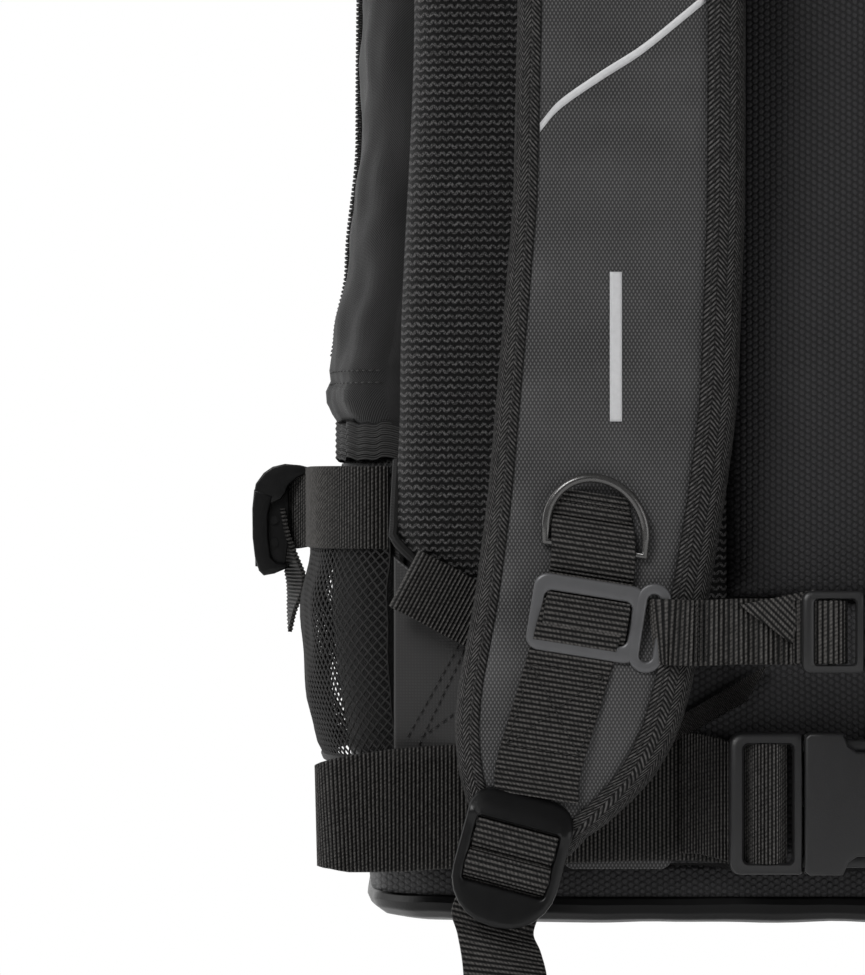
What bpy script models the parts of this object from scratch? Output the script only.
"""Ski boot bag worn as a backpack: body panels, harness, buckles and side pockets.

Metres, +Z up. The origin is the middle of the flat underside. The harness side faces -Y and
the lid faces +Y, so the wearer's left shoulder strap is at -X.
"""
import math

import bmesh
import bpy
from mathutils import Matrix, Vector

# ---- driving dimensions -------------------------------------------------------------------
GAP = 0.0004                 # air left between two pieces that touch

BODY_HEIGHT = 0.480
BODY_REAR = 0.105            # middle of the body to the harness side
BODY_FRONT = 0.115           # middle of the body to the lid's face
BODY_HALF_WIDTH = 0.149
BODY_SWELL = ((0.0, -0.0005), (0.03, 0.0010), (0.10, 0.0040), (0.145, 0.0060), (0.163, 0.0120),
              (0.200, 0.0055), (0.240, 0.0020), (0.420, 0.0))   # height, and how far a side stands out
CORNER_POWER = 6.0           # how square the body's corners are
WALL = 0.0030                # fabric, foam and lining
BASE_HEIGHT = 0.018
BASE_ROUND = 0.014
LID_FOLD_Z = 0.167           # height of the zip's two ends and of the fold between them

ZIP_WIRE = 0.0011            # radius of a zip coil
ZIP_SPLIT = 0.0030           # distance between the two coils
ZIP_END_LIFT = 0.004         # from the fold to the ends of the coils
SLIDER_SIZE = (0.013, 0.010, 0.0030)
SLIDER_INNER_X = 0.003
SLIDER_SOFT = 0.0008
ZIP_CLEAR = 0.0020           # lets the lid's coil rise out from under the sliders
PULLER_LENGTH = 0.034
PULLER_WIDTH = 0.009
PULLER_THICK = 0.0018
PULLER_PIN_X = 0.010

PAD_THICK = 0.013
PAD_OUTER_X = BODY_HALF_WIDTH - 0.0105
PAD_INNER_X = 0.0420
PAD_LOW_Z = 0.0960
PAD_CORNER_RISE = 0.018      # how far the outer lower corner of a pad is rounded up
PAD_CORNER_REACH = 0.0338    # and how wide that corner is
BACK_FRAME_THICK = 0.008     # lumbar strip, spine and yoke between and round the pads
LUMBAR_HALF_WIDTH = BODY_HALF_WIDTH - 0.031
LUMBAR_GAP = 0.002           # base to the lumbar strip
YOKE_TOP_Z = BODY_HEIGHT - 0.040
YOKE_HEIGHT = 0.038
YOKE_BOTTOM_Z = YOKE_TOP_Z - YOKE_HEIGHT
YOKE_HALF_WIDTH = BODY_HALF_WIDTH - 0.0382
PAD_TOP_Z = YOKE_BOTTOM_Z - 0.004

STRAP_THICK = 0.014
STRAP_LIFT = 0.0030          # pad's face to the back of the shoulder strap
STRAP_TOP_Z = YOKE_TOP_Z - 0.005
STRAP_MIDDLE_Z = 0.215       # above here a strap's stations keep their share of its length
UPPER_STRAP = STRAP_TOP_Z - STRAP_MIDDLE_Z
STRAP_EDGES = (              # height, outer edge and inner edge of a shoulder strap
    (0.0290, 0.1150, 0.0835), (0.0390, 0.1193, 0.0705), (0.0535, 0.1222, 0.0600),
    (0.0680, 0.1219, 0.0550), (0.0976, 0.1163, 0.0491), (0.1270, 0.1125, 0.0441),
    (0.1560, 0.1099, 0.0403), (STRAP_MIDDLE_Z, 0.1049, 0.0382),
    (STRAP_MIDDLE_Z + 0.268 * UPPER_STRAP, 0.1037, 0.0385),
    (STRAP_MIDDLE_Z + 0.614 * UPPER_STRAP, 0.1045, 0.0395), (STRAP_TOP_Z, 0.1080, 0.0450))
STRAP_BOW = (                # height, and how far a strap stands off
    (0.029, 0.0085), (0.060, 0.0080), (0.120, 0.0010), (0.190, 0.0),
    (STRAP_MIDDLE_Z + 0.386 * UPPER_STRAP, 0.0120), (STRAP_MIDDLE_Z + 0.773 * UPPER_STRAP, 0.0020),
    (STRAP_TOP_Z, -0.0060))
STRAP_END_THIN = 0.0045      # how much thinner a strap is at its lower end
STRAP_THIN_FROM_Z = 0.060

WEB = 0.0016                 # webbing thickness
WEB_NARROW = 0.0200          # sternum webbing
WEB_MIDDLE = 0.0250          # shoulder and compression webbing
WEB_WIDE = 0.0375            # waist webbing

STRAP_WEB_ROUTE = ((0.1290, 0.0821), (0.1045, 0.0818), (0.0797, 0.0889), (0.0600, 0.0948),
                   (0.0455, 0.0992))   # height and distance from the middle
D_RING_WIRE = 0.0011
D_RING_WIDTH = WEB_MIDDLE + 0.0080
D_RING_HEIGHT = 0.0205
D_RING_AT = (0.0814, 0.1127)
D_RING_LEAN = 0.35           # share of the ring's rise where it has to clear the webbing's end
D_RING_LEG = 0.25            # share of the ring's rise that is straight
HARNESS_TILT = math.radians(9.0)
RING_RAMP = 0.012            # webbing's run up to the ring and to the slider's bar
SLIDE_RAMP = 0.010
SLIDE_RAMP_SHARE = 0.9

SLIDE_WINDOW = (WEB_MIDDLE + 0.0012, 0.0130)
SLIDE_FRAME = (SLIDE_WINDOW[0] + 0.0045, 0.0225)
SLIDE_AT = (0.0848, 0.0923)
SLIDE_LOOP = 0.0082          # how far the side loop stands out
SLIDE_LOOP_OVERLAP = 0.0014
SLIDE_SLOT = (0.0034, WEB_NARROW - 0.0015)
SLIDE_SLOT_SHIFT = 0.0006
SLIDE_THICK = 0.0024
SLIDE_CLEAR = 0.0006         # slider to the webbing under it
SLIDE_ROUND = 0.0040
SLIDE_WINDOW_ROUND = 0.0020
SLIDE_SLOT_ROUND = 0.0016
METAL_SOFT = 0.0005
PLASTIC_SOFT = 0.0006

STERNUM_Z = 0.0884
STERNUM_BUCKLE = (-0.0213, 0.0245)     # left and right end of the closed buckle
STERNUM_SPLIT = -0.0030
STERNUM_HEIGHT = WEB_NARROW + 0.0040
STERNUM_THICK = 0.0068
STERNUM_BEND_X = 0.045
STERNUM_WEB_LIFT = 0.0010    # slider's back to the middle of the sternum webbing
STERNUM_BUCKLE_LIFT = 0.0012
STERNUM_LOOP = 0.0160        # length of the male half's webbing loop
STERNUM_ROOM = 0.0010        # webbing stops this short of the female half

WAIST_Z = 0.0370
WAIST_BUCKLE = (-0.0414, 0.0390)
WAIST_SPLIT = -0.0195
WAIST_HEIGHT = WEB_WIDE + 0.0045
WAIST_THICK = 0.0108
BUCKLE_WALL = 0.0022
BUCKLE_PLAY = 0.0005
BUCKLE_SOFT = 0.45 * BUCKLE_WALL
POCKET_DEPTH = 0.56          # shares of the female half's length: its cavity and side windows
WINDOW_START, WINDOW_END = 0.20, 0.50
SLOT_START, SLOT_END = 0.24, 0.16     # shares of the male half's length, from either end
BAR_SLOT = (0.75, 0.30)      # the female half's slot, in the same shares from its end
ARM_SHARE = 0.30             # width of a prong, of the cavity's half height
TONGUE_SHARE = 0.35          # half width of the middle tongue, of a prong's width
PRONG_END = 0.002            # prong's tip to the bottom of the cavity
BELT_STAND_OUT = 0.014       # waist webbing's fold beside the body
BELT_BEND = 0.008
BELT_BEND_X = LUMBAR_HALF_WIDTH + 0.007
BELT_HIDDEN = 0.004          # waist webbing's end behind the male half
BELT_ROOM = 0.0015           # and its length behind the female half's slot
BELT_DROOP = 0.005
SLEEVE_END_X = -0.0555
SLEEVE_BEND_X = -0.048
SLEEVE_THICK = 0.0030
LOOP_SHARE = 0.96            # a buckle's webbing loop, of the webbing's width

LOCK_AT = (0.1062, 0.0225)
LOCK_SIZE = (WEB_MIDDLE + 0.0060, 0.0395)
LOCK_TILT = math.radians(15.0)
LOCK_THICK = 0.0036
LOCK_BAR = 0.0050
LOCK_SLOT = 0.0065
LOCK_SLOT_Z = 0.0058
LOCK_ROUND = 0.0085
LOCK_STAND_OFF = 0.0012
SLOT_ROUND = 0.0012
SLOT_PLAY = 0.001            # a slot is this much wider than its webbing
LOCK_TAIL_LENGTH = 0.1250
LOCK_TAIL_START = 0.0100     # below the lock's middle
LOCK_TAIL_BEND = 0.018
ANCHOR_ROUTE = ((PAD_OUTER_X - 0.0015, 0.1033), (PAD_OUTER_X - 0.0200, 0.0938),
                (PAD_OUTER_X - 0.0335, 0.0868))
ANCHOR_LEAN = math.radians(60)
WING_INNER_X = LUMBAR_HALF_WIDTH + 0.0025
WING_OUTER_X = BODY_HALF_WIDTH - 0.0095
WING_OUTLINE = ((WING_OUTER_X, 0.0600), (WING_INNER_X, 0.0830), (WING_INNER_X, 0.0910),
                (WING_OUTER_X, 0.1000))
WING_THICK = 0.0014
WING_LIFT = 0.0018

POCKET_LOW_Z = 0.0525
POCKET_TOP_Z = 0.1390
POCKET_BULGE = 0.0120
POCKET_CLOTH = 0.0012
POCKET_REACH = (-0.86, 0.80) # rear and front seams, as shares of the body's depth
POCKET_FOOT = 0.35           # share of the bulge at the pocket's foot
POCKET_SWELL = 0.62          # share of a half wave up to the pocket's mouth
BAND_SHARE = 0.577           # share of the bulge at the elastic
ELASTIC_HEIGHT = 0.0088
ELASTIC_THICK = 0.0020

COMPRESSION_Z = 0.1228
COMPRESSION_LOCK = (0.0270, WEB_MIDDLE + 0.0080)
COMPRESSION_TAIL = 0.048
COMPRESSION_REACH = 0.098    # middle of the side to a strap's sewn end
COMPRESSION_CLEAR = WEB / 2 + 0.0014   # pocket to the middle of the strap
COMPRESSION_LIFT = 0.0020    # strap's middle to the lock's middle
COMPRESSION_ROOM = 0.0012
COMPRESSION_SLOT = 0.0060
COMPRESSION_ROUND = 0.0050
COMPRESSION_THICK = 0.0040
COMPRESSION_LEAST = 0.0030   # least distance from the strap to the body

HAUL_RADIUS = 0.0055
HAUL_HALF_SPAN = 0.034
HAUL_RISE = 0.022            # body's top to the top of the loop
HAUL_FOOT = 0.012

SIDES = (("left", -1), ("right", 1))

# ---- the scene and its materials ----------------------------------------------------------
for old in list(bpy.data.objects):
    bpy.data.objects.remove(old, do_unlink=True)


def material(name, colour, roughness, metallic=0.0):
    """One plain finish."""
    made = bpy.data.materials.new(name)
    made.use_nodes = True
    shader = made.node_tree.nodes["Principled BSDF"]
    shader.inputs["Base Color"].default_value = (*colour, 1.0)
    shader.inputs["Roughness"].default_value = roughness
    shader.inputs["Metallic"].default_value = metallic
    made.diffuse_color = (*colour, 1.0)
    return made


TWILL = material("twill_nylon", (0.022, 0.021, 0.022), 0.60)
HONEYCOMB = material("honeycomb_polyester", (0.025, 0.024, 0.026), 0.75)
COATED = material("coated_fabric", (0.070, 0.069, 0.070), 0.45)
MESH = material("spacer_mesh", (0.024, 0.023, 0.023), 0.90)
WEBBING = material("webbing", (0.023, 0.021, 0.020), 0.70)
ELASTIC = material("elastic", (0.030, 0.029, 0.029), 0.80)
NETTING = material("net", (0.016, 0.015, 0.015), 0.85)
PLASTIC = material("moulded_plastic", (0.035, 0.034, 0.034), 0.40)
PAINTED = material("painted_metal", (0.075, 0.075, 0.077), 0.35, 0.6)
STEEL = material("blackened_steel", (0.080, 0.078, 0.077), 0.30, 0.9)
ZIP = material("zip_coil", (0.018, 0.018, 0.018), 0.50)


# ---- shape helpers ------------------------------------------------------------------------
def along(table, at, column=1):
    """Smooth value of a table of stations at one height."""
    if at <= table[0][0]:
        return table[0][column]
    for low, high in zip(table, table[1:]):
        if at <= high[0]:
            share = (at - low[0]) / (high[0] - low[0])
            share = share * share * (3 - 2 * share)
            return low[column] + share * (high[column] - low[column])
    return table[-1][column]


def straight(table, at, column=1):
    """Value of a table of stations at one height, in straight runs."""
    if at <= table[0][0]:
        return table[0][column]
    for low, high in zip(table, table[1:]):
        if at <= high[0]:
            share = (at - low[0]) / (high[0] - low[0])
            return low[column] + share * (high[column] - low[column])
    return table[-1][column]


def add(name, data, finish):
    """One named node with its finish."""
    data.materials.clear()
    data.materials.append(finish)
    made = bpy.data.objects.new(name, data)
    bpy.context.scene.collection.objects.link(made)
    return made


def mesh_of(bm, name):
    """Turn a bmesh into mesh data, shaded smooth with its sharp edges kept."""
    data = bpy.data.meshes.new(name)
    bm.to_mesh(data)
    bm.free()
    data.shade_smooth()
    data.set_sharp_from_angle(angle=math.radians(40))
    return data


def sheet(name, place, steps, thick, finish, outward=None):
    """A grid laid out by place(u, v), both 0 to 1, thickened inwards or about its middle."""
    bm = bmesh.new()
    bmesh.ops.create_grid(bm, x_segments=steps[0], y_segments=steps[1], size=0.5)
    for vert in bm.verts:
        vert.co = Vector(place(vert.co.x + 0.5, vert.co.y + 0.5))
    bm.normal_update()
    if outward is not None:
        total = sum((face.normal * face.calc_area() for face in bm.faces), Vector())
        if total.dot(Vector(outward)) < 0:
            bmesh.ops.reverse_faces(bm, faces=bm.faces[:])
    made = add(name, mesh_of(bm, name), finish)
    wall = made.modifiers.new("wall", "SOLIDIFY")
    wall.thickness = thick
    wall.offset = 0.0 if outward is None else -1.0
    wall.use_even_offset = True
    return made


def ribbon(name, path, width, finish, thick=WEB, across=(0, 0, 1)):
    """Webbing along a path of points; across is the direction of its width at each point."""
    path = [Vector(point) for point in path]
    count = len(path) - 1
    wide = across if isinstance(across, list) else [across] * len(path)

    def place(u, v):
        at = round(u * count)
        return path[at] + Vector(wide[at]).normalized() * (v - 0.5) * width

    return sheet(name, place, (count, 1), thick, finish)


def rounded(path, radius, steps=4):
    """Round the inner corners of a path of points."""
    path = [Vector(point) for point in path]
    made = [path[0]]
    for before, at, after in zip(path, path[1:], path[2:]):
        reach = min(radius, (before - at).length * 0.45, (after - at).length * 0.45)
        start = at + (before - at).normalized() * reach
        end = at + (after - at).normalized() * reach
        for step in range(steps + 1):
            t = step / steps
            made.append(start * (1 - t) ** 2 + at * 2 * t * (1 - t) + end * t ** 2)
    return made + [path[-1]]


def box_outline(width, height, radius, middle=(0.0, 0.0), steps=4):
    """Corner points of a rectangle with round corners, in a plate's own X and Y."""
    made = []
    for turn, (sx, sy) in enumerate(((1, 1), (-1, 1), (-1, -1), (1, -1))):
        centre = (middle[0] + sx * (width / 2 - radius), middle[1] + sy * (height / 2 - radius))
        for step in range(steps + 1):
            angle = math.radians(90 * (turn + step / steps))
            made.append((centre[0] + radius * math.cos(angle), centre[1] + radius * math.sin(angle)))
    return made


def plate(name, outlines, thick, finish, at, turn=0.0, soften=0.0):
    """A flat moulding that faces -Y: the first outline is its edge and the rest are holes."""
    data = bpy.data.curves.new(name, "CURVE")
    data.dimensions = "2D"
    data.fill_mode = "BOTH"
    data.extrude = thick / 2 - soften
    data.bevel_depth = soften
    data.bevel_resolution = 0
    data.offset = -soften
    for outline in outlines:
        line = data.splines.new("POLY")
        line.points.add(len(outline) - 1)
        for point, (x, y) in zip(line.points, outline):
            point.co = (x, y, 0.0, 1.0)
        line.use_cyclic_u = True
    made = add(name, data, finish)
    made.location = at
    made.rotation_euler = (math.radians(90), -turn, 0.0)
    return made


def tube(name, points, radius, finish, closed=False):
    """A round bar along a list of points."""
    data = bpy.data.curves.new(name, "CURVE")
    data.dimensions = "3D"
    data.bevel_depth = radius
    data.bevel_resolution = 2
    data.use_fill_caps = not closed
    line = data.splines.new("POLY")
    line.points.add(len(points) - 1)
    for point, co in zip(line.points, points):
        point.co = (*co, 1.0)
    line.use_cyclic_u = closed
    return add(name, data, finish)


def block(name, low, high, finish, soften=0.0):
    """A box between two corners, with softened edges."""
    bm = bmesh.new()
    size = Vector(high) - Vector(low)
    bmesh.ops.create_cube(bm, size=1.0, matrix=Matrix.Translation((Vector(low) + Vector(high)) / 2)
                          @ Matrix.Diagonal((*size, 1.0)))
    if soften:
        bmesh.ops.bevel(bm, geom=bm.edges[:], offset=soften, segments=2, affect="EDGES", profile=0.5,
                        material=-1)
    return add(name, mesh_of(bm, name), finish)


def cut(target, low, high):
    """Cut a box out of a piece."""
    cutter = block(target.name + "_cutter", low, high, PLASTIC)
    cutter.hide_render = True
    cutter.display_type = "WIRE"
    hole = target.modifiers.new("opening", "BOOLEAN")
    hole.operation = "DIFFERENCE"
    hole.object = cutter


# ---- the body's surface -------------------------------------------------------------------
MIDDLE_Z = BODY_HEIGHT / 2


def body_width(height):
    """Half width of the body at one height."""
    return BODY_HALF_WIDTH + along(BODY_SWELL, height)


def body_point(x, y, z, stand_out=0.0):
    """Bring a point of the cube -1..1 onto the body's rounded surface."""
    power = CORNER_POWER
    size = (abs(x) ** power + abs(y) ** power + max(z, 0.0) ** power) ** (1 / power)
    x, y, z = x / size, y / size, (z / size if z > 0 else z)
    height = MIDDLE_Z * (1 + z)
    wide = body_width(height) + stand_out
    deep = (BODY_FRONT if y > 0 else BODY_REAR) + stand_out
    return Vector((x * wide, y * deep, height + (stand_out * z ** power if z > 0 else 0.0)))


def cube_z(height):
    """The cube height of a real height on the straight part of a wall."""
    return height / MIDDLE_Z - 1


def cube_side(height, y=0.0):
    """The cube height on a side wall whose real height, after rounding, is the one asked for."""
    low, high = -1.0, 1.0
    for _ in range(40):
        middle = (low + high) / 2
        if body_point(1.0, y, middle).z < height:
            low = middle
        else:
            high = middle
    return middle


def spread(low, high, share):
    """A value between two others."""
    return low + (high - low) * share


HALF_GAP_Y = GAP / BODY_REAR
HALF_GAP_Z = 2 * GAP / MIDDLE_Z
FLOOR = cube_z(BASE_HEIGHT + GAP)
FOLD = cube_side(LID_FOLD_Z)
EDGE = 1.0 - 0.0200          # panels stop just short of the corner line they share


def panel(name, face, u_range, v_range, steps, outward):
    """One sewn panel: a patch of one face of the rounded body."""
    def place(u, v):
        a, b = spread(*u_range, u), spread(*v_range, v)
        point = {"x-": (-1, a, b), "x+": (1, a, b), "y-": (a, -1, b), "y+": (a, 1, b),
                 "z+": (a, b, 1)}[face]
        return body_point(*point)

    return sheet(name, place, steps, WALL, TWILL, outward)


def body_panels():
    """Rear, sides, top and the lower front, which stay with the harness."""
    panel("rear_panel", "y-", (-EDGE, EDGE), (FLOOR, EDGE), (10, 10), (0, -1, 0))
    panel("lower_front_panel", "y+", (-EDGE, EDGE), (FLOOR, FOLD - HALF_GAP_Z), (10, 4), (0, 1, 0))
    panel("top_panel", "z+", (-EDGE, EDGE), (-EDGE, -HALF_GAP_Y), (10, 4), (0, 0, 1))
    for side, s in SIDES:
        face = "x-" if s < 0 else "x+"
        panel(f"side_panel_{side}", face, (-EDGE, -HALF_GAP_Y), (FLOOR, EDGE), (5, 14), (s, 0, 0))
        panel(f"side_lower_panel_{side}", face, (HALF_GAP_Y, EDGE), (FLOOR, FOLD - HALF_GAP_Z),
              (5, 6), (s, 0, 0))


def lid_panels():
    """The half of the body that swings open in front of the zip."""
    panel("lid_front_panel", "y+", (-EDGE, EDGE), (FOLD + HALF_GAP_Z, EDGE), (10, 8), (0, 1, 0))
    panel("lid_top_panel", "z+", (-EDGE, EDGE), (HALF_GAP_Y, EDGE), (10, 4), (0, 0, 1))
    for side, s in SIDES:
        face = "x-" if s < 0 else "x+"
        panel(f"lid_side_panel_{side}", face, (HALF_GAP_Y, EDGE), (FOLD + HALF_GAP_Z, EDGE), (5, 10),
              (s, 0, 0))


def base():
    """The stiffened base, with a flat underside and a rolled edge."""
    bm = bmesh.new()
    bmesh.ops.create_circle(bm, cap_ends=True, segments=48, radius=1.0)
    for vert in bm.verts:
        angle = math.atan2(vert.co.y, vert.co.x)
        x, y = math.cos(angle), math.sin(angle)
        reach = max(abs(x), abs(y))
        flat = body_point(x / reach, y / reach, cube_z(BASE_HEIGHT))
        vert.co = Vector((flat.x, flat.y, BASE_HEIGHT))
    top = bm.faces[:]
    wall = bmesh.ops.extrude_face_region(bm, geom=top)
    lowered = [item for item in wall["geom"] if isinstance(item, bmesh.types.BMVert)]
    bmesh.ops.translate(bm, verts=lowered, vec=(0, 0, -BASE_HEIGHT))
    rim = [edge for edge in bm.edges if all(vert.co.z < 1e-6 for vert in edge.verts)]
    bmesh.ops.bevel(bm, geom=rim, offset=BASE_ROUND, segments=3, affect="EDGES", profile=0.5,
                    material=-1)
    bmesh.ops.recalc_face_normals(bm, faces=bm.faces[:])
    add("base", mesh_of(bm, "base"), HONEYCOMB)


# ---- the zip ------------------------------------------------------------------------------
def zip_line(y, stand_out):
    """Up one side, over the top and down the other, beside the plane that splits the body."""
    shift = y / BODY_REAR
    low = cube_side(LID_FOLD_Z + ZIP_END_LIFT)
    made = [body_point(-1, shift, spread(low, 1, step / 12), stand_out) for step in range(12)]
    made += [body_point(spread(-1, 1, step / 14), shift, 1, stand_out) for step in range(15)]
    made += [body_point(1, shift, spread(1, low, step / 12), stand_out) for step in range(1, 13)]
    return made


def zip_parts():
    """Two coils, and two sliders with their pullers, which meet at the middle of the top."""
    lift = ZIP_WIRE + 3 * GAP
    tube("zip_coil_body", zip_line(-ZIP_SPLIT / 2, lift), ZIP_WIRE, ZIP)
    tube("zip_coil_lid", zip_line(ZIP_SPLIT / 2, lift), ZIP_WIRE, ZIP)
    long, wide, tall = SLIDER_SIZE
    floor = BODY_HEIGHT + 2 * ZIP_WIRE + 3 * GAP + ZIP_CLEAR
    for side, s in SIDES:
        inner, outer = sorted((s * SLIDER_INNER_X, s * (SLIDER_INNER_X + long)))
        block(f"zip_slider_{side}", (inner, -wide / 2, floor), (outer, wide / 2, floor + tall), PAINTED,
              SLIDER_SOFT)
        middle = s * (PULLER_PIN_X + PULLER_LENGTH / 2)
        height = floor + tall + 2 * GAP + PULLER_THICK / 2
        puller = plate(f"zip_puller_{side}",
                       [box_outline(PULLER_LENGTH, PULLER_WIDTH, PULLER_WIDTH * 0.45)], PULLER_THICK,
                       PAINTED, (middle, 0.0, height))
        puller.rotation_euler = (0.0, 0.0, 0.0)


# ---- the harness side: pads and straps ----------------------------------------------------
PAD_BACK = -BODY_REAR - GAP
PAD_FACE = PAD_BACK - PAD_THICK
STRAP_BACK = PAD_FACE - STRAP_LIFT


def slab(name, place, steps, back, thick, finish):
    """A flat pad on the harness side; place(u, v) gives its X and Z."""
    def laid(u, v):
        x, z = place(u, v)
        return (x, back - thick, z)

    return sheet(name, laid, steps, thick, finish, (0, -1, 0))


def back_pads():
    """Two mesh pads, and the panel that is lumbar strip, spine and yoke in one."""
    for side, s in SIDES:
        def pad(u, v, s=s):
            x = spread(PAD_INNER_X, PAD_OUTER_X, u)
            corner = max(0.0, 1 - (PAD_OUTER_X - x) / PAD_CORNER_REACH)
            low = PAD_LOW_Z + PAD_CORNER_RISE * corner ** 2
            return s * x, spread(low, PAD_TOP_Z, v)

        slab(f"back_pad_{side}", pad, (8, 1), PAD_BACK, PAD_THICK, MESH)

    spine, hips, neck = PAD_INNER_X - GAP, LUMBAR_HALF_WIDTH, YOKE_HALF_WIDTH
    low, waist = BASE_HEIGHT + LUMBAR_GAP, PAD_LOW_Z - GAP
    right = [(hips, low), (hips, waist), (spine, waist), (spine, YOKE_BOTTOM_Z),
             (neck, YOKE_BOTTOM_Z), (neck, YOKE_TOP_Z)]
    left = [(-x, z) for x, z in reversed(right)]
    plate("centre_back_panel", [right + left], BACK_FRAME_THICK, HONEYCOMB,
          (0.0, PAD_BACK - BACK_FRAME_THICK / 2, 0.0))


def strap_back(z):
    """Where the back of a shoulder strap is at one height."""
    return STRAP_BACK - along(STRAP_BOW, z)


def strap_face(z):
    """Where the face of a shoulder strap is at one height; it thins towards its lower end."""
    thin = STRAP_END_THIN * max(0.0, (STRAP_THIN_FROM_Z - z) / (STRAP_THIN_FROM_Z - STRAP_EDGES[0][0]))
    return strap_back(z) - STRAP_THICK + thin


def shoulder_straps():
    """Padded straps from the yoke down to the ladder locks."""
    low, high = STRAP_EDGES[0][0], STRAP_EDGES[-1][0]
    for side, s in SIDES:
        bm = bmesh.new()
        bmesh.ops.create_grid(bm, x_segments=2, y_segments=26, size=0.5)
        bmesh.ops.solidify(bm, geom=bm.faces[:], thickness=0.2)
        middle = sum(vert.co.z for vert in bm.verts) / len(bm.verts)
        for vert in bm.verts:
            z = spread(low, high, vert.co.y + 0.5)
            outer, inner = straight(STRAP_EDGES, z, 1), straight(STRAP_EDGES, z, 2)
            x = s * spread(inner, outer, vert.co.x + 0.5)
            vert.co = Vector((x, strap_back(z) if vert.co.z > middle else strap_face(z), z))
        bmesh.ops.recalc_face_normals(bm, faces=bm.faces[:])
        add(f"shoulder_strap_{side}", mesh_of(bm, f"shoulder_strap_{side}"), COATED)


def haul_loop():
    """The hanging loop, rolled to a round handle, with its feet on the yoke."""
    y = PAD_BACK - BACK_FRAME_THICK - HAUL_RADIUS - GAP
    foot = YOKE_BOTTOM_Z + HAUL_FOOT
    top = BODY_HEIGHT + HAUL_RISE - HAUL_RADIUS
    points = []
    for step in range(17):
        angle = math.pi * step / 16
        points.append((-HAUL_HALF_SPAN * math.cos(angle), y,
                       spread(YOKE_TOP_Z, top, math.sin(angle))))
    points = [(-HAUL_HALF_SPAN, y, foot)] + points + [(HAUL_HALF_SPAN, y, foot)]
    tube("haul_loop", points, HAUL_RADIUS, WEBBING)


# ---- the hardware on the shoulder straps --------------------------------------------------
def strap_web_y(z):
    """Middle of the shoulder webbing's thickness at one height."""
    over_ring = D_RING_WIRE * 2 + GAP
    ring = max(0.0, 1 - abs(z - D_RING_AT[1]) / RING_RAMP)
    bar = max(0.0, 1 - abs(z - SLIDE_AT[1]) / SLIDE_RAMP) * SLIDE_RAMP_SHARE
    return strap_face(z) - GAP - WEB / 2 - over_ring * max(ring, bar) ** 0.6


def shoulder_webbing():
    """Webbing sewn down each strap's face, over the D-ring and through the sternum slider."""
    for side, s in SIDES:
        low, high = STRAP_WEB_ROUTE[-1][0], STRAP_WEB_ROUTE[0][0]
        table = tuple(reversed(STRAP_WEB_ROUTE))
        heights = [spread(high, low, step / 28) for step in range(29)]
        path = [(s * straight(table, z), strap_web_y(z), z) for z in heights]
        tilt = [(math.cos(HARNESS_TILT), 0, s * math.sin(HARNESS_TILT))] * len(path)
        ribbon(f"shoulder_webbing_{side}", path, WEB_MIDDLE, WEBBING, across=tilt)


def d_rings():
    """A wire D whose straight bar lies under the shoulder webbing and whose bow lies over its end."""
    for side, s in SIDES:
        x, z = s * D_RING_AT[0], D_RING_AT[1]
        y = strap_face(z) - GAP - D_RING_WIRE
        half = D_RING_WIDTH / 2 - D_RING_WIRE
        rise = D_RING_HEIGHT - 2 * D_RING_WIRE
        flat = [(-half, 0.0)] + [(-half * math.cos(math.pi * step / 14),
                                  rise * spread(D_RING_LEG, 1.0, math.sin(math.pi * step / 14)))
                                 for step in range(15)] + [(half, 0.0)]
        tilt = s * HARNESS_TILT
        lean = strap_face(z + rise) - strap_face(z) - (WEB + 2 * GAP) / D_RING_LEAN
        points = [(x + a * math.cos(tilt) - b * math.sin(tilt), y + lean * b / rise,
                   z + a * math.sin(tilt) + b * math.cos(tilt)) for a, b in flat]
        tube(f"d_ring_{side}", points, D_RING_WIRE, STEEL, closed=True)


def sternum_sliders():
    """Flat frames threaded on the shoulder webbing, each with a side loop for the sternum webbing."""
    wide, tall = SLIDE_FRAME
    for side, s in SIDES:
        x, z = s * SLIDE_AT[0], SLIDE_AT[1]
        y = strap_web_y(z) - WEB / 2 - GAP - SLIDE_THICK / 2 - SLIDE_CLEAR
        loop = -s * (wide / 2 + SLIDE_LOOP / 2 - SLIDE_LOOP_OVERLAP - SLIDE_SLOT_SHIFT)
        edge = box_outline(wide + SLIDE_LOOP, tall, SLIDE_ROUND, (-s * SLIDE_LOOP / 2, 0.0))
        window = box_outline(*SLIDE_WINDOW, SLIDE_WINDOW_ROUND)
        slot = box_outline(*SLIDE_SLOT, SLIDE_SLOT_ROUND, (loop, 0.0))
        plate(f"sternum_slider_{side}", [edge, window, slot], SLIDE_THICK, PAINTED, (x, y, z),
              s * HARNESS_TILT, METAL_SOFT)


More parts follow.
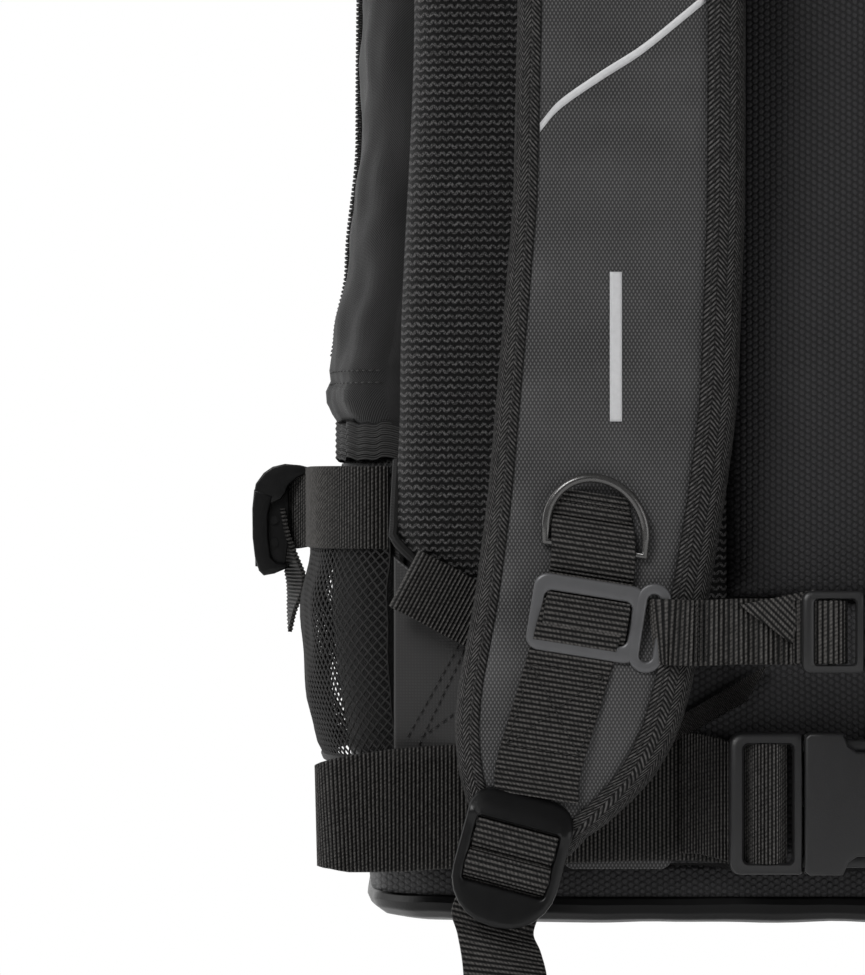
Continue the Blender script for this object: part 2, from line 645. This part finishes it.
# ---- side-release buckles -----------------------------------------------------------------
def buckle(name, ends, split, height, thick, z, face):
    """Female body and male insert of one side-release buckle; the male is at -X."""
    slot = split - ends[0]
    y0, y1 = face, face - thick
    middle = (y0 + y1) / 2
    left, right = ends
    pocket = height / 2 - BUCKLE_WALL
    half = thick / 2 - BUCKLE_WALL
    deep = spread(split, right, POCKET_DEPTH)
    female = block(f"{name}_buckle_female", (split + GAP, y1, z - height / 2),
                   (right, y0, z + height / 2), PLASTIC, BUCKLE_SOFT)
    cut(female, (split - 0.01, middle - half, z - pocket), (deep, middle + half, z + pocket))
    window = (spread(split, right, WINDOW_START), spread(split, right, WINDOW_END))
    for s in (-1, 1):
        low, high = sorted((z + s * (pocket - 0.001), z + s * (height / 2 + 0.01)))
        cut(female, (window[0], middle - half, low), (window[1], middle + half, high))
    bar_slot = (right - slot * BAR_SLOT[0], right - slot * BAR_SLOT[1])
    cut(female, (bar_slot[0], y1 - 0.01, z - pocket), (bar_slot[1], y0 + 0.01, z + pocket))

    bm = bmesh.new()
    reach = deep - BUCKLE_PLAY - PRONG_END
    prong = half - BUCKLE_PLAY
    bmesh.ops.create_cube(bm, size=1.0)
    bmesh.ops.scale(bm, verts=bm.verts[:], vec=(split - left, thick, height))
    bmesh.ops.translate(bm, verts=bm.verts[:], vec=((split + left) / 2, middle, z))
    bmesh.ops.bevel(bm, geom=bm.edges[:], offset=BUCKLE_SOFT, segments=2, affect="EDGES",
                    profile=0.5, material=-1)
    male = add(f"{name}_buckle_male", mesh_of(bm, f"{name}_buckle_male"), PLASTIC)
    hole = (left + slot * SLOT_START, split - slot * SLOT_END)
    cut(male, (hole[0], y1 - 0.01, z - pocket), (hole[1], y0 + 0.01, z + pocket))
    arm = pocket * ARM_SHARE
    for part, (low, high) in {"lower": (-pocket + BUCKLE_PLAY, -pocket + arm),
                              "middle": (-arm * TONGUE_SHARE, arm * TONGUE_SHARE),
                              "upper": (pocket - arm, pocket - BUCKLE_PLAY)}.items():
        tine = block(f"{name}_{part}_tine", (split - 0.002, middle - prong, z + low),
                     (reach, middle + prong, z + high), PLASTIC, prong * 0.3)
        tine.hide_render = True
        tine.display_type = "WIRE"
        join = male.modifiers.new(part, "BOOLEAN")
        join.operation = "UNION"
        join.object = tine
    return middle


def sternum_strap():
    """Sternum webbing on both sides, the buckle between, and the loop that holds its male half."""
    face = strap_web_y(SLIDE_AT[1]) - WEB / 2 - GAP
    middle = buckle("sternum", STERNUM_BUCKLE, STERNUM_SPLIT, STERNUM_HEIGHT, STERNUM_THICK,
                    STERNUM_Z, face - STERNUM_BUCKLE_LIFT)
    start = SLIDE_AT[0] - SLIDE_FRAME[0] / 2 - SLIDE_LOOP
    y = face + STERNUM_WEB_LIFT
    for side, s, end in (("left", -1, STERNUM_BUCKLE[0]), ("right", 1, STERNUM_BUCKLE[1])):
        ribbon(f"sternum_webbing_{side}",
               [(s * start, y, STERNUM_Z), (s * STERNUM_BEND_X, y, STERNUM_Z),
                (end + (STERNUM_ROOM if s > 0 else -GAP), y, STERNUM_Z)], WEB_NARROW, WEBBING)
    rear = middle + STERNUM_THICK / 2 - STERNUM_WEB_LIFT
    ribbon("sternum_loop",
           [(STERNUM_BUCKLE[0] - STERNUM_LOOP, rear - STERNUM_BUCKLE_LIFT, STERNUM_Z),
            (STERNUM_BUCKLE[0] - GAP * 2, rear - WEB * 2, STERNUM_Z)],
           WEB_NARROW * LOOP_SHARE, WEBBING)


def waist_belt():
    """Waist webbing on both sides, folded back beside the body, and the buckle between."""
    back = PAD_BACK - BACK_FRAME_THICK - GAP - WEB / 2
    for side, s in SIDES:
        end = WAIST_BUCKLE[0] + BELT_HIDDEN if s < 0 else WAIST_BUCKLE[1] + BELT_ROOM
        low = WAIST_Z - BELT_DROOP
        fold = BODY_HALF_WIDTH + BELT_STAND_OUT
        path = rounded([(s * (fold - 0.0075), -BODY_REAR + 0.035, low),
                        (s * (fold - 0.0030), -BODY_REAR + 0.013, low),
                        (s * fold, back + 0.002, WAIST_Z - 0.6 * BELT_DROOP),
                        (s * BELT_BEND_X, back, WAIST_Z - 0.2 * BELT_DROOP), (end, back, WAIST_Z)],
                       BELT_BEND, 4)
        ribbon(f"waist_webbing_{side}", path, WEB_WIDE, WEBBING)
    face = back - WEB / 2 - GAP
    middle = buckle("waist", WAIST_BUCKLE, WAIST_SPLIT, WAIST_HEIGHT, WAIST_THICK, WAIST_Z, face)
    rear = middle + WAIST_THICK / 2 - SLEEVE_THICK / 2 - 5 * GAP
    ribbon("waist_loop", [(SLEEVE_END_X, rear, WAIST_Z), (SLEEVE_BEND_X, middle, WAIST_Z),
                          (WAIST_BUCKLE[0] - GAP, middle, WAIST_Z)], WEB_WIDE * LOOP_SHARE, WEBBING,
           thick=SLEEVE_THICK)


# ---- ladder locks, their webbing and the corner wings -------------------------------------
def turned(x, z, tilt):
    """A point of a tilted plate's own X and Z as an offset in the body's X and Z."""
    return x * math.cos(tilt) - z * math.sin(tilt), x * math.sin(tilt) + z * math.cos(tilt)


def ladder_locks():
    """Locks under the shoulder straps, with the adjuster webbing that hangs from each."""
    wide, tall = LOCK_SIZE
    for side, s in SIDES:
        tilt = s * LOCK_TILT
        x, z = s * LOCK_AT[0], LOCK_AT[1]
        y = strap_face(STRAP_EDGES[0][0]) - GAP - WEB - LOCK_THICK / 2 - LOCK_STAND_OFF
        slot = (WEB_MIDDLE + SLOT_PLAY, LOCK_SLOT, SLOT_ROUND)
        upper = box_outline(*slot, (0.0, LOCK_SLOT_Z))
        lower = box_outline(*slot, (0.0, LOCK_SLOT_Z - LOCK_SLOT - LOCK_BAR))
        plate(f"ladder_lock_{side}", [box_outline(wide, tall, LOCK_ROUND), upper, lower], LOCK_THICK,
              PLASTIC, (x, y, z), tilt, PLASTIC_SOFT)
        start = turned(0.0, -LOCK_TAIL_START, tilt)
        top = Vector((x + start[0], y - LOCK_THICK / 2 - GAP - WEB / 2, z + start[1]))
        bend = top + Vector((s * 0.0035, 0.0005, -LOCK_TAIL_BEND))
        path = [top, bend, bend + Vector((s * 0.002, 0.001, -LOCK_TAIL_LENGTH * 0.5)),
                bend + Vector((0.0, 0.002, -LOCK_TAIL_LENGTH + LOCK_TAIL_BEND))]
        tilts = [(math.cos(tilt), 0, math.sin(tilt)), (1, 0, 0), (1, 0, 0), (1, 0, 0)]
        ribbon(f"ladder_tail_{side}", path, WEB_MIDDLE, WEBBING, across=tilts)


def corner_wings():
    """Coated triangles sewn into the rear seam, and the webbing folded out of each one."""
    for side, s in SIDES:
        outline = [(s * x, z) for x, z in WING_OUTLINE]
        if s > 0:
            outline.reverse()
        plate(f"corner_wing_{side}", [outline], WING_THICK, COATED, (0.0, PAD_BACK - WING_LIFT, 0.0))
        y = PAD_FACE - GAP - WEB / 2
        wide = (-s * math.cos(ANCHOR_LEAN), 0, math.sin(ANCHOR_LEAN))
        ribbon(f"anchor_webbing_{side}", [(s * x, y, z) for x, z in ANCHOR_ROUTE],
               WEB_NARROW, WEBBING, across=wide)


# ---- side pockets and compression straps --------------------------------------------------
def pocket_point(s, u, height, bulge):
    """A point on the side pocket: u runs from the rear seam to the front seam."""
    y = spread(*POCKET_REACH, u)
    out = bulge * math.sin(math.pi * u) ** 0.7 + 3 * GAP
    return body_point(s, y, cube_z(height), out)


def side_pockets():
    """A net pocket on each side with an elastic band along its mouth."""
    for side, s in SIDES:
        def net(u, v, s=s):
            height = spread(POCKET_LOW_Z, POCKET_TOP_Z - GAP, v)
            swell = spread(POCKET_FOOT, 1.0, math.sin(math.pi * v * POCKET_SWELL))
            return pocket_point(s, u, height, POCKET_BULGE * swell)

        def band(u, v, s=s):
            height = spread(POCKET_TOP_Z, POCKET_TOP_Z + ELASTIC_HEIGHT, v)
            return pocket_point(s, u, height, POCKET_BULGE * BAND_SHARE)

        sheet(f"net_pocket_{side}", net, (10, 5), POCKET_CLOTH, NETTING, (s, 0, 0)).modifiers[
            "wall"].offset = 1.0
        sheet(f"pocket_elastic_{side}", band, (10, 1), ELASTIC_THICK, ELASTIC, (s, 0, 0)).modifiers[
            "wall"].offset = 1.0


def compression_straps():
    """A strap round each side, with the lock at the middle of its depth and its tail hanging."""
    wide, tall = COMPRESSION_LOCK
    for side, s in SIDES:
        clear = POCKET_BULGE + POCKET_CLOTH + COMPRESSION_CLEAR
        lock_x = s * (body_width(COMPRESSION_Z) + clear + COMPRESSION_LIFT)

        def route(y, s=s):
            out = clear * math.sin(math.pi * min(1.0, max(0.0, 0.5 + y / (2 * BODY_REAR)))) ** 0.35
            point = body_point(s, y / BODY_REAR, cube_z(COMPRESSION_Z), max(out, COMPRESSION_LEAST))
            return (point.x, point.y, COMPRESSION_Z)

        near = wide / 2 + COMPRESSION_ROOM
        rear = [route(spread(-COMPRESSION_REACH, -near, step / 10)) for step in range(11)]
        front = [route(spread(near, COMPRESSION_REACH, step / 10)) for step in range(11)]
        ribbon(f"compression_strap_{side}", rear, WEB_MIDDLE, WEBBING)
        ribbon(f"compression_anchor_{side}", front, WEB_MIDDLE, WEBBING)
        slots = [box_outline(COMPRESSION_SLOT, WEB_MIDDLE + SLOT_PLAY, SLOT_ROUND, (place, 0.0))
                 for place in (-COMPRESSION_SLOT, COMPRESSION_SLOT)]
        lock = plate(f"compression_lock_{side}", [box_outline(wide, tall, COMPRESSION_ROUND)] + slots,
                     COMPRESSION_THICK, PLASTIC, (lock_x, 0.0, COMPRESSION_Z), 0.0, PLASTIC_SOFT)
        lock.rotation_euler = (math.radians(90), 0.0, math.radians(90))
        x = lock_x + s * (COMPRESSION_THICK / 2 + GAP + WEB / 2)
        ribbon(f"compression_tail_{side}",
               [(x, -0.004, COMPRESSION_Z - 0.004), (x + s * 0.0035, -0.006, COMPRESSION_Z - 0.018),
                (x + s * 0.0010, -0.007, COMPRESSION_Z - COMPRESSION_TAIL)],
               WEB_MIDDLE, WEBBING, across=(0, 1, 0))


body_panels()
lid_panels()
base()
zip_parts()
back_pads()
shoulder_straps()
haul_loop()
shoulder_webbing()
d_rings()
sternum_sliders()
sternum_strap()
waist_belt()
ladder_locks()
corner_wings()
side_pockets()
compression_straps()
